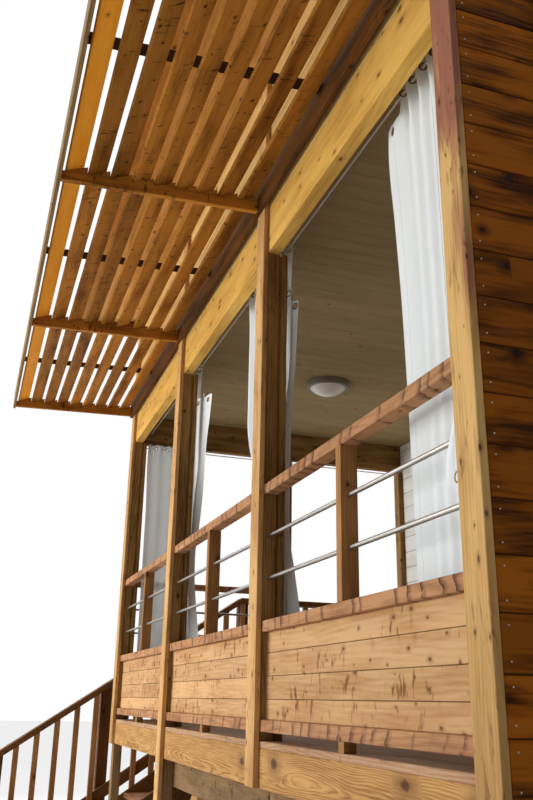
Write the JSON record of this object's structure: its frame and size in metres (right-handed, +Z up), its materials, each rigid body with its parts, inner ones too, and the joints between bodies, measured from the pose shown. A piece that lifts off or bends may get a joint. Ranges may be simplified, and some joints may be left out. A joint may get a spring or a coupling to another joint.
{
  "type": "tree house",
  "caption": "Timber tree house cabin on stilts with a covered, curtained front porch, a slatted awning, boarded parapet and a side stair.",
  "frame": {"origin": "on the ground, below the middle of the whole outline seen from above", "axes": "+X to the right along the long front, +Y from the front to the back, +Z up"},
  "size_m": [6.614, 6.938, 5.7038],
  "materials": {
    "warm_wood": "lightly oiled pine",
    "yellow_wood": "planed pine with knots",
    "red_wood": "reddish stained boards",
    "dark_wood": "dark brown stain",
    "grey_wood": "weathered planks",
    "white_wood": "white paint",
    "steel": "brushed",
    "roofing": "matt dark grey sheet",
    "window_glass": "clear",
    "white_metal": "satin white",
    "opal": "opal white",
    "curtain_cloth": "plain white weave"
  },
  "bodies": {
    "root": {"front_trims": "warm_wood", "inner_trims": "grey_wood", "posts": "grey_wood", "header_front": "yellow_wood", "header_left": "yellow_wood", "front_upper_wall": "warm_wood", "awning_ledger": "red_wood", "awning_rafters": "warm_wood", "awning_slats": "warm_wood", "awning_battens": "red_wood", "awning_edge_board": "warm_wood", "handrails": "red_wood", "parapet_rails": "red_wood", "parapets": "warm_wood", "guard_rods": "steel", "balusters": "warm_wood", "decks": "grey_wood", "joists": "grey_wood", "bearers": "grey_wood", "stilts": "grey_wood", "knee_braces": "yellow_wood", "fascia_boards": "yellow_wood", "right_wall": "dark_wood", "left_wall": "dark_wood", "back_wall": "dark_wood", "porch_wall": "white_wood", "cover_strips": "red_wood", "porch_door": "white_wood", "window_frames": "white_wood", "window_panes": "window_glass", "porch_ceiling": "grey_wood", "roof_front": "roofing", "roof_back": "roofing", "barge_boards": "dark_wood", "ridge_cap": "roofing", "lamp_bases": "white_metal", "lamp_domes": "opal", "curtain_rods": "white_metal", "curtains": "curtain_cloth", "stair_stringers": "dark_wood", "stair_treads": "red_wood", "stair_newels": "dark_wood", "stair_rails": "red_wood", "stair_balusters": "warm_wood", "landing_rail": "red_wood"}
  },
  "joints": []
}
